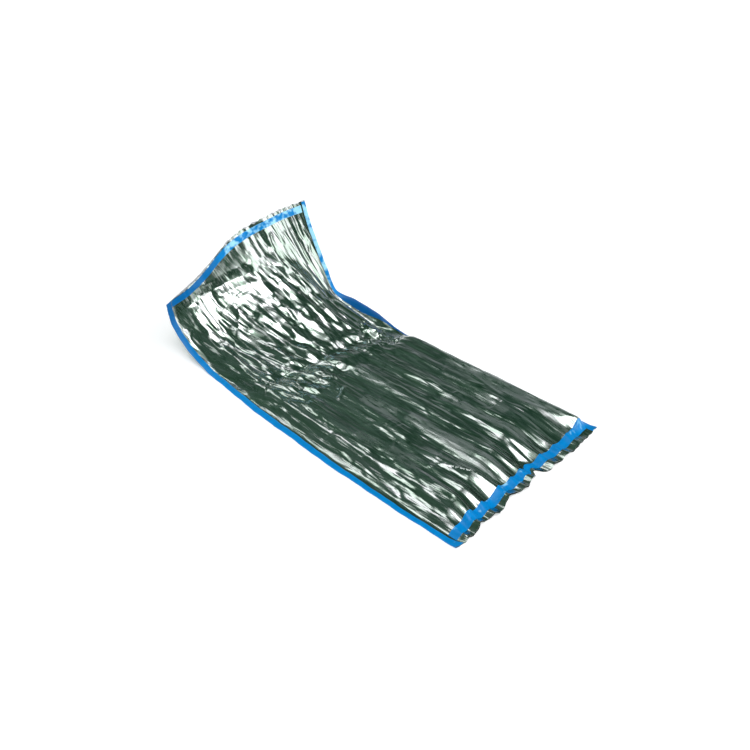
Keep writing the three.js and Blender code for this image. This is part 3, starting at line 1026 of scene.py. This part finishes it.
@dataclass
class Bag:
    """The flat bag's grid and the surfaces of both panels over it.

    The air is the height between the panels, and the rise is where it starts and is full, in from a side or
    from the foot. The corner is the foot's right one. The roll is the right border, which stands up steeply.
    """

    tape_columns: int = 6
    middle_columns: int = 137
    flap_rows: int = 5
    strip_rows: int = 6
    middle_rows: int = 297
    head_flap_rows: int = 3
    film: float = 0.0006
    lie: Lie = Lie()
    folds: SoftFolds = SoftFolds()
    upper_creases: SharpCreases = SharpCreases(CREASES, UPPER_STRETCHES, CALM, seed=11)
    lower_creases: SharpCreases = SharpCreases((), LOWER_STRETCHES, (), seed=23)
    leg_margin: float = 0.001
    air_left: float = 0.04
    air_right: float = 0.056
    air_bend: float = 0.044
    air_mouth: float = 0.03
    bend_along: Span = (1.15, 1.4)
    mouth_from: float = 1.75
    left_rise: Span = (0.036, 0.14)
    right_rise: Span = (0.036, 0.32)
    foot_left_rise: Span = (0.022, 0.13)
    foot_right_rise: Span = (0.05, 0.34)
    corner_rise: Span = (0.004, 0.09)
    corner_inset: Span = (0.06, 0.17)
    roll_slope: float = math.radians(54)
    roll_from: float = 0.006
    roll_tape_top: float = 0.038
    roll_over: float = 0.08
    roll_settled: float = 0.25
    roll_along: Stops = (0.0, 0.08, 1.01, 1.22)
    pleat_share: float = 0.94
    pleat_slack: float = 0.001
    pleat_along: Span = (0.078, 0.15)
    grain_lean: float = 0.26
    grain_from: float = 1.2

    @cached_property
    def grid(self) -> Grid:
        """Places on the flat bag: even steps under each tape, on each loose end and between them.

        Returns:
            The grid of both panels.
        """
        tape = HALF_WIDTH - UPPER_LEG
        left = np.linspace(-HALF_WIDTH, -tape, self.tape_columns + 1)
        middle = np.linspace(-tape, tape, self.middle_columns + 1)
        stops = (0.0, FOOT_FLAP, FOOT_FLAP + FOOT_WIDTH, HEAD_START, BAG_LENGTH - HEAD_FLAP, BAG_LENGTH)
        counts = (self.flap_rows, self.strip_rows, self.middle_rows, self.strip_rows, self.head_flap_rows)
        rows = [np.linspace(*ends, count + 1)[:-1] for *ends, count in zip(stops, stops[1:], counts)]
        across = np.concatenate([left, middle[1:-1], -left[::-1]])
        return Grid(across, np.concatenate([*rows, [BAG_LENGTH]]))

    def foot_shift(self) -> Array:
        """Where the middle of the foot edge lies in the frame: the low end of the left tape's solid."""
        return np.array([0.0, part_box("side_tape_left")[0][1], 0.0])

    def under_tape(self) -> Array:
        """How far both panels stand off the lie over the tape's lower legs, as a ramp beside them."""
        ramp = smoothstep(self.grid.inset, LOWER_LEG + self.leg_margin, UPPER_LEG)
        return (EDGE_LIFT + TAPE_LAYER + LAYER_GAP) * (1.0 - ramp)

    def roll_section(self, inset: Array, slope: Array) -> tuple[Array, Array]:
        """The right border in section: a straight slope, then an arc over to level, then level.

        Args:
            inset: Distances in from the right edge on the flat bag.
            slope: Slope of the straight part, in radians.

        Returns:
            How far in and how high the film has come.
        """
        slope = np.maximum(slope, LEAST_SLOPE)
        straight = np.clip(inset, self.roll_from, self.roll_tape_top) - self.roll_from
        bow = self.roll_over - self.roll_tape_top
        turned = slope * np.clip((inset - self.roll_tape_top) / bow, 0.0, 1.0)
        reach = straight * np.cos(slope) + bow / slope * (np.sin(slope) - np.sin(slope - turned))
        height = straight * np.sin(slope) + bow / slope * (np.cos(slope - turned) - np.cos(slope))
        return np.minimum(inset, self.roll_from) + reach + np.maximum(inset - self.roll_over, 0.0), height

    def pleats(self) -> Array:
        """How far the lower panel rises under the foot's pleats: a share of the folds less some slack."""
        rise = self.pleat_share * self.folds.height(self.grid) - self.pleat_slack
        return (1.0 - smoothstep(self.grid.rows, *self.pleat_along)) * np.maximum(rise, 0.0)

    def slack(self) -> Array:
        """Air between the panels without folds: a full height times ramps in from the foot and both sides.

        Returns:
            Heights of shape (rows, columns).
        """
        columns, rows = self.grid.columns, self.grid.rows
        side = columns / BAG_WIDTH + 0.5
        inset = HALF_WIDTH - columns
        roll = self.roll_section(inset, self.roll_slope)[1]
        roll = roll / self.roll_section(np.array(self.roll_over), self.roll_slope)[1]
        right = lerp(smoothstep(inset, *self.right_rise), roll, plateau(rows, self.roll_along))
        lying = lerp(self.air_left, self.air_right, side)
        bend = lerp(lying, self.air_bend, smoothstep(rows, *self.bend_along))
        full = lerp(bend, self.air_mouth, smoothstep(rows, self.mouth_from, BAG_LENGTH))
        corner = 1.0 - smoothstep(inset, *self.corner_inset)
        rises = zip(self.foot_left_rise, self.foot_right_rise, self.corner_rise)
        foot = [lerp(lerp(first, second, side), third, corner) for first, second, third in rises]
        left = smoothstep(columns + HALF_WIDTH, *self.left_rise)
        return full * smoothstep(rows, *foot) * left * right

    def lower_panel(self) -> Array:
        """Mid surface of the lower panel: the lie raised by the tape beneath, the pleats and its own creases.

        Returns:
            Points of shape (rows, columns, 3), from the middle of the foot edge.
        """
        _, out = self.lie.directions(self.grid)
        crease = self.lower_creases.height(self.grid)
        height = self.under_tape() + LAYER / 2 + self.pleats() + crease
        points = self.lie.points(self.grid) + out * height[..., None]
        points[..., 2] = np.maximum(points[..., 2], self.film)
        return points

    def upper_panel(self) -> Array:
        """Mid surface of the upper panel: the lie raised by air, folds and creases, rolled out on the right.

        Returns:
            Points of shape (rows, columns, 3), from the middle of the foot edge.
        """
        grid = self.grid
        sideways, out = self.lie.directions(grid)
        air = self.slack() + self.folds.height(grid) + self.upper_creases.height(grid)
        air = np.maximum(air, self.pleats())
        inset = HALF_WIDTH - grid.columns
        reach = self.roll_section(inset, self.roll_slope * plateau(grid.rows, self.roll_along))[0]
        outward = (1.0 - smoothstep(inset, self.roll_over, self.roll_settled)) * (inset - reach)
        height = self.under_tape() + LAYER + LAYER_GAP + LAYER / 2 + air
        return self.lie.points(grid) + out * height[..., None] + sideways * outward[..., None]

    def grain(self) -> Array:
        """Places on the flat bag with a grain that leans to the left in the bend and the head.

        Returns:
            Places of shape (rows, columns, 2).
        """
        places = self.grid.flat
        places[..., 0] += self.grain_lean * np.maximum(self.grid.rows - self.grain_from, 0.0)
        return places


@dataclass(frozen=True)
class LooseEnds:
    """The film beyond both strips of tape: ragged and wavy at the foot, partly turned away at the head."""

    foot_lobes: Table = FOOT_LOBES
    foot_reach: tuple[Wave, ...] = (Wave(0.113, 0.05, 1.9), Wave(0.041, 0.05, 0.8))
    foot_lift: tuple[Wave, ...] = (Wave(0.24, 0.0014, 0.9), Wave(0.083, 0.001, 2.1), Wave(0.033, 0.0005, 0.3))
    head_reach: tuple[Wave, ...] = (Wave(0.17, 0.15, 0.2), Wave(0.058, 0.2, 1.1), Wave(0.026, 0.12, 2.0))
    turned: float = 0.72
    turned_across: Span = (-0.16, 0.08)
    under_phase: float = 1.6

    def lift(self, place: Array) -> Array:
        """Waves of the foot's end, all of them above zero."""
        return sum(wave.swing + wave.at(place) for wave in self.foot_lift)

    def stretch(self, bag: Bag, points: Array, upper: bool) -> Array:
        """Draw each loose end out or in about the strip's outer edge, and lift the foot's end in waves.

        The upper panel's lift is the lower one's with a second set of waves on it, so the two never cross.

        Args:
            bag: The bag that gives the grid.
            points: Mid surface of a panel.
            upper: Whether it is the upper panel.

        Returns:
            The mid surface with its ends drawn.
        """
        grid = bag.grid
        across = grid.across
        foot, head = bag.flap_rows, len(grid.along) - 1 - bag.head_flap_rows
        place = across if upper else across + self.under_phase
        reach = read(self.foot_lobes, across) + swing(self.foot_reach, place)
        kept = 1.0 - self.turned * (1.0 - smoothstep(across, *self.turned_across))
        kept = kept * (1.0 + swing(self.head_reach, place))
        drawn = points.copy()
        drawn[:foot] = lerp(points[foot], points[:foot], reach[:, None])
        drawn[head + 1 :] = lerp(points[head], points[head + 1 :], kept[:, None])
        lift = self.lift(across)
        if upper:
            lift = lift + self.lift(across + self.under_phase)
        drawn[:foot, :, 2] += (1.0 - grid.rows[:foot] / FOOT_FLAP) * lift
        return drawn


def cells_of(grid: Array) -> Array:
    """Four-sided faces of a grid of point numbers."""
    corners = (grid[:-1, :-1], grid[:-1, 1:], grid[1:, 1:], grid[1:, :-1])
    return np.stack([corner.ravel() for corner in corners], axis=1)


def rim_of(top: Array, bottom: Array) -> Array:
    """Four-sided faces between two rows of point numbers."""
    return np.stack([top[1:], top[:-1], bottom[:-1], bottom[1:]], axis=1)


def shell_faces(rows: int, columns: int) -> Array:
    """Four-sided faces of a closed sheet between an outer and an inner grid of the same size.

    The outer grid's points come first and face out, the inner grid's follow and face the other way, and a rim
    of faces joins the two all round.

    Args:
        rows: Rows of each grid.
        columns: Columns of each grid.

    Returns:
        Point numbers of shape (faces, 4).
    """
    outer = np.arange(rows * columns).reshape(rows, columns)
    inner = outer + rows * columns
    rims = [
        rim_of(outer[0], inner[0]),
        rim_of(outer[-1, ::-1], inner[-1, ::-1]),
        rim_of(outer[::-1, 0], inner[::-1, 0]),
        rim_of(outer[:, -1], inner[:, -1]),
    ]
    return np.concatenate([cells_of(outer), cells_of(inner)[:, ::-1], *rims])


@dataclass
class Piece:
    """A sheet piece of the bag: a closed thin mesh between two grids, with its flat map and stored values."""

    bag: Bag
    name: str
    node: str
    slot: Slot
    finish: FilmFinish | TapeFinish
    sharp_angle: float = math.radians(50)

    def mesh(self, outer: Array, inner: Array, flat: Array, values: dict[str, Array]) -> bpy.types.Mesh:
        """Put two grids into a closed mesh in the bag's own frame.

        Args:
            outer: Outer points of shape (rows, columns, 3), from the middle of the foot edge.
            inner: Inner points of the same shape.
            flat: Places on the flat bag of shape (rows, columns, 2).
            values: Named values to store at the points, each of a shape that spreads to (2, rows, columns).

        Returns:
            The mesh.
        """
        rows, columns = outer.shape[:2]
        points = np.stack([outer, inner]) + self.bag.foot_shift()
        faces = shell_faces(rows, columns)
        mesh = bpy.data.meshes.new(self.name)
        mesh.vertices.add(2 * rows * columns)
        mesh.vertices.foreach_set("co", points.astype(np.float32).ravel())
        mesh.loops.add(faces.size)
        mesh.loops.foreach_set("vertex_index", faces.astype(np.int32).ravel())
        mesh.polygons.add(len(faces))
        mesh.polygons.foreach_set("loop_start", np.arange(0, faces.size, faces.shape[1], dtype=np.int32))
        mesh.polygons.foreach_set("use_smooth", np.ones(len(faces), dtype=bool))
        mesh.update(calc_edges=True)
        mesh.validate()
        both = np.tile(flat.reshape(-1, 2), (2, 1))
        uv = mesh.uv_layers.new(name="flat")
        uv.data.foreach_set("uv", both[faces.ravel()].astype(np.float32).ravel())
        for name, value in values.items():
            stored = mesh.attributes.new(name, "FLOAT", "POINT")
            spread = np.broadcast_to(value, (2, rows, columns))
            stored.data.foreach_set("value", spread.astype(np.float32).ravel())
        mesh.set_sharp_from_angle(angle=self.sharp_angle)
        return mesh

    def dress(self, mesh: bpy.types.Mesh) -> bpy.types.Object:
        """Give a mesh its finish, ride it on the bag and let it stand for its solid.

        Args:
            mesh: The piece's mesh.

        Returns:
            The object.
        """
        mesh.materials.append(self.finish.material())
        piece = bpy.data.objects.new(self.name, mesh)
        bpy.context.scene.collection.objects.link(piece)
        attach(piece, "root")
        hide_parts(self.node)
        return piece


@dataclass
class FilmPanel(Piece):
    """One panel of the bag's film."""

    satin_sides: Span = (0.0, 1.0)
    satin_along: Span = (1.2, 1.5)

    def build(self, mid: Array, painted_reflection: Array) -> bpy.types.Object:
        """Thicken a mid surface to the film, satin on its inside towards the mouth.

        Args:
            mid: Mid surface of shape (rows, columns, 3).
            painted_reflection: Share of the film's painted sky reflection at each point.

        Returns:
            The panel's object.
        """
        offset = normals_of(mid) * (self.bag.film / 2)
        satin = np.array(self.satin_sides)[:, None, None] * smoothstep(self.bag.grid.rows, *self.satin_along)
        values = {"painted_reflection": painted_reflection, "satin": satin}
        return self.dress(self.mesh(mid + offset, mid - offset, self.bag.grain(), values))


@dataclass
class StripTape(Piece):
    """A flat tape across the upper panel, cut short of the side tapes by a share of a grid step."""

    start: float = 0.0
    width: float = FOOT_WIDTH
    # Painted light across the strip: a painted highlight above zero, painted shade below
    painted_light: Table = ((0.0, 0.0),)
    tape: float = 0.0005
    cut_back: float = 0.15

    def build(self, mid: Array) -> bpy.types.Object:
        """Lay the tape on the upper panel's grid, over its own rows and between the side tapes.

        Args:
            mid: Mid surface of the upper panel.

        Returns:
            The tape's object.
        """
        grid = self.bag.grid
        columns = slice(self.bag.tape_columns, len(grid.across) - self.bag.tape_columns)
        rows = (grid.along > self.start - TOLERANCE) & (grid.along < self.start + self.width + TOLERANCE)
        part = Grid(grid.across[columns], grid.along[rows])
        out = normals_of(mid)[rows, columns]
        film = mid[rows, columns].copy()
        film[:, 0] = lerp(film[:, 0], film[:, 1], self.cut_back)
        film[:, -1] = lerp(film[:, -1], film[:, -2], self.cut_back)
        seat = self.bag.film / 2 + LAYER_GAP
        values = {"painted_light": read(self.painted_light, part.across)}
        return self.dress(self.mesh(film + out * (seat + self.tape), film + out * seat, part.flat, values))


@dataclass
class SideTape(Piece):
    """Tape folded over one long side: a wide leg on the upper panel, a bight and a short leg beneath."""

    side: Side = Side.LEFT
    legs: Table = ((0.0, UPPER_LEG),)
    # Painted light along the tape: a painted highlight above zero, painted shade below
    painted_light: Table = ((0.0, 0.0),)
    tape: float = 0.0005
    leg_steps: int = 6
    bight_steps: int = 5

    def leg(self, film: Array, widths: Array, offset: float) -> Array:
        """One leg of the tape: the film's grid beside the edge, read at even steps over a width for each row.

        Args:
            film: Mid surface of the panel under the leg.
            widths: The leg's width in each row.
            offset: Distance from the mid surface along its normal.

        Returns:
            Points of shape (rows, steps + 1, 3), from the edge inwards.
        """
        steps = self.bag.tape_columns
        beside = (film + normals_of(film) * offset)[:, :: -self.side.value][:, : steps + 2]
        place = widths[:, None] * np.linspace(0.0, 1.0, self.leg_steps + 1) * steps / UPPER_LEG
        column = np.clip(np.floor(place).astype(int), 0, steps)
        rows = np.arange(len(film))[:, None]
        return lerp(beside[rows, column], beside[rows, column + 1], (place - column)[..., None])

    def outline(self, upper: Array, lower: Array, offset: float) -> Array:
        """Rows of points around the edge at an offset from both panels.

        The wide leg follows the upper panel out to its edge, half an ellipse turns under, and the short leg
        follows the lower panel back.

        Args:
            upper: Mid surface of the upper panel.
            lower: Mid surface of the lower panel.
            offset: Distance from the mid surfaces.

        Returns:
            Points of shape (rows, outline, 3), from the wide leg's inner edge to the short leg's on the right
            side, and the other way round on the left.
        """
        width = read(self.legs, self.bag.grid.along)
        over = self.leg(upper, width, offset)[:, ::-1]
        under = self.leg(lower, np.full(len(width), LOWER_LEG), -offset)
        under[..., 2] = np.maximum(under[..., 2], self.bag.film / 2)
        middle = (over[:, -1] + under[:, 0]) / 2
        upward = (over[:, -1] - under[:, 0]) / 2
        sideways = unit(over[:, -1] - over[:, -2])
        turns = np.linspace(0.0, math.pi, self.bight_steps + 2)[1:-1]
        bight = [middle + upward * math.cos(turn) + sideways * (offset * math.sin(turn)) for turn in turns]
        around = np.concatenate([over, np.stack(bight, axis=1), under], axis=1)
        return around[:, :: self.side.value]

    def build(self, upper: Array, lower: Array) -> bpy.types.Object:
        """Fold the tape around both panels.

        Args:
            upper: Mid surface of the upper panel.
            lower: Mid surface of the lower panel.

        Returns:
            The tape's object.
        """
        seat = self.bag.film / 2 + LAYER_GAP
        outer = self.outline(upper, lower, seat + self.tape)
        inner = self.outline(upper, lower, seat)
        grid = Grid(np.linspace(0.0, UPPER_LEG + LOWER_LEG, outer.shape[1]), self.bag.grid.along)
        values = {"painted_light": read(self.painted_light, grid.along)[:, None]}
        return self.dress(self.mesh(outer, inner, grid.flat, values))


@dataclass(frozen=True)
class SoftBox:
    """A round soft light far away: where it stands, half its width as an angle, and its brightness."""

    name: str
    azimuth: float
    elevation: float
    half: float
    radiance: float

    def direction(self) -> Triple:
        """Direction to the light: azimuth in degrees from +Y towards +X, elevation from the floor.

        Returns:
            A unit vector.
        """
        azimuth, elevation = math.radians(self.azimuth), math.radians(self.elevation)
        level = math.cos(elevation)
        return math.sin(azimuth) * level, math.cos(azimuth) * level, math.sin(elevation)

    def energy(self) -> float:
        """Light square on a surface: brightness times pi times the square of the half width's sine."""
        return self.radiance * math.pi * math.sin(math.radians(self.half)) ** 2


@dataclass
class Studio:
    """Pale floor, dim patchy sky, soft lights and the camera."""

    floor_half: float = 20.0
    floor_drop: float = 0.0002
    camera_place: Triple = (-2.33, -2.2505, 2.4)
    camera_azimuth: float = math.radians(-46.8)
    camera_elevation: float = math.radians(35.5)
    sensor: float = 36.0
    lens: float = 40.4
    sky: Colour = (0.032, 0.085, 0.056, 1.0)
    sky_patch: Colour = (0.12, 0.2, 0.16, 1.0)
    patch_scale: float = 2.2
    patch_detail: float = 4.0
    patch_gain: float = 5.0
    patch_level: float = 2.0
    horizon: Colour = (0.42, 0.45, 0.47, 1.0)
    horizon_top: float = 0.7
    back: Place = (0.82, 0.57)
    front_dimming: float = 0.35
    light_colour: Triple = (1.0, 0.95, 1.0)
    lights: tuple[SoftBox, ...] = (
        SoftBox("overhead", -140.0, 63.0, 16.0, 4.4),
        SoftBox("overhead_glow", -140.0, 63.0, 21.0, 1.1),
        SoftBox("overhead_rim", -140.0, 63.0, 30.0, 0.7),
        SoftBox("front", 156.0, 32.0, 20.0, 1.9),
        SoftBox("front_glow", 156.0, 32.0, 26.0, 0.55),
        SoftBox("front_rim", 156.0, 32.0, 31.0, 0.35),
        SoftBox("back", 5.0, 66.0, 9.0, 2.2),
        SoftBox("back_glow", 5.0, 66.0, 14.0, 0.6),
        SoftBox("back_low", 8.0, 51.0, 6.0, 1.8),
    )

    def build(self) -> None:
        """Make the floor, the sky, the lights and the camera."""
        half = self.floor_half
        corners = [(-half, -half), (half, -half), (half, half), (-half, half)]
        mesh = bpy.data.meshes.new("floor")
        mesh.from_pydata([(x, y, -self.floor_drop) for x, y in corners], [], [(0, 1, 2, 3)])
        mesh.materials.append(FloorFinish().material())
        floor = bpy.data.objects.new("floor", mesh)
        scene = bpy.context.scene
        scene.collection.objects.link(floor)
        self.cover(scene)
        self.light(scene)
        self.aim(scene)

    def cover(self, scene: bpy.types.Scene) -> None:
        """Give the scene a dim sky in soft patches that pales towards the horizon at the back.

        The share of the sky's own colour is the direction's height plus a part that grows towards the front.

        Args:
            scene: The scene, whose colours are shown as they are.
        """
        world = bpy.data.worlds.new("studio")
        world.use_nodes = True
        nodes = Nodes(world.node_tree)
        direction = nodes.node("ShaderNodeTexCoord", {}, {}, "Generated")
        slope = (*(-self.front_dimming * part for part in self.back), 1.0)
        dot = {"operation": "DOT_PRODUCT"}
        height = nodes.node("ShaderNodeVectorMath", dot, {0: direction, 1: slope}, "Value")
        share = ((height + self.front_dimming) * (1.0 / self.horizon_top)).clipped()
        noise = {"Vector": direction, "Scale": self.patch_scale, "Detail": self.patch_detail}
        patches = nodes.node("ShaderNodeTexNoise", {}, noise, "Fac") * self.patch_gain - self.patch_level
        sky = nodes.blend(patches.clipped(), self.sky, self.sky_patch)
        colour = nodes.blend(share * share * (3.0 - 2.0 * share), self.horizon, sky)
        nodes.end("ShaderNodeOutputWorld", nodes.node("ShaderNodeBackground", {}, {"Color": colour}))
        scene.world = world
        scene.view_settings.view_transform = "Standard"

    def light(self, scene: bpy.types.Scene) -> None:
        """Set up the soft lights.

        Args:
            scene: The scene to light.
        """
        for box in self.lights:
            lamp = bpy.data.lights.new(box.name, "SUN")
            lamp.energy = box.energy()
            lamp.color = self.light_colour
            lamp.angle = 2 * math.radians(box.half)
            holder = bpy.data.objects.new(box.name, lamp)
            holder.rotation_euler = Vector(box.direction()).to_track_quat("Z", "Y").to_euler()
            scene.collection.objects.link(holder)

    def aim(self, scene: bpy.types.Scene) -> None:
        """Place the camera and turn it to the bag.

        Args:
            scene: The scene that gets the camera.
        """
        azimuth, elevation = self.camera_azimuth, self.camera_elevation
        level = math.cos(elevation)
        back = Vector((math.sin(azimuth) * level, -math.cos(azimuth) * level, math.sin(elevation)))
        camera = bpy.data.cameras.new("camera")
        camera.lens = self.lens
        camera.sensor_width = self.sensor
        holder = bpy.data.objects.new("camera", camera)
        holder.location = self.camera_place
        holder.rotation_euler = back.to_track_quat("Z", "Y").to_euler()
        scene.collection.objects.link(holder)
        scene.camera = holder


def main() -> None:
    """Build the bag's pieces in order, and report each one."""
    logging.basicConfig(level=logging.INFO, format="%(message)s")
    bag, ends = Bag(), LooseEnds()
    lower = ends.stretch(bag, bag.lower_panel(), upper=False)
    upper = ends.stretch(bag, bag.upper_panel(), upper=True)
    film, under, tape = FilmFinish("film"), FilmFinish("film_under"), TapeFinish("tape")
    lower_part = FilmPanel(bag, "lower_panel", "lower_film", Slot.FILM_UNDER, under, satin_sides=(1.0, 0.0))
    upper_part = FilmPanel(bag, "upper_panel", "upper_film", Slot.FILM, film, satin_sides=(0.0, 1.0))
    lower_film = lower_part.build(lower, bag.grid.zeros())
    # The upper panel's colour carries the painted sky reflection in the listed streaks
    upper_film = upper_part.build(upper, streaks(PAINTED_REFLECTIONS, bag.grid))
    # Each tape gets its listed painted highlights and painted shade
    sides = (
        ("left_binding", "side_tape_left", {"side": Side.LEFT, "legs": LEFT_LEGS, "painted_light": LEFT_PAINTED_LIGHT}),
        ("right_binding", "side_tape_right", {"side": Side.RIGHT, "legs": RIGHT_LEGS, "painted_light": RIGHT_PAINTED_LIGHT}),
    )
    strips = (
        ("foot_strip", "foot_tape", {"start": FOOT_FLAP, "width": FOOT_WIDTH, "painted_light": FOOT_PAINTED_LIGHT}),
        ("head_strip", "head_tape", {"start": HEAD_START, "width": HEAD_WIDTH, "painted_light": HEAD_PAINTED_LIGHT}),
    )
    dressed = (Slot.TAPE, tape)
    tapes = [SideTape(bag, name, node, *dressed, **own).build(upper, lower) for name, node, own in sides]
    tapes += [StripTape(bag, name, node, *dressed, **own).build(upper) for name, node, own in strips]
    Studio().build()
    for piece in (lower_film, upper_film, *tapes):
        LOG.info("%s: %d faces", piece.name, len(piece.data.polygons))


if __name__ == "__main__":
    main()
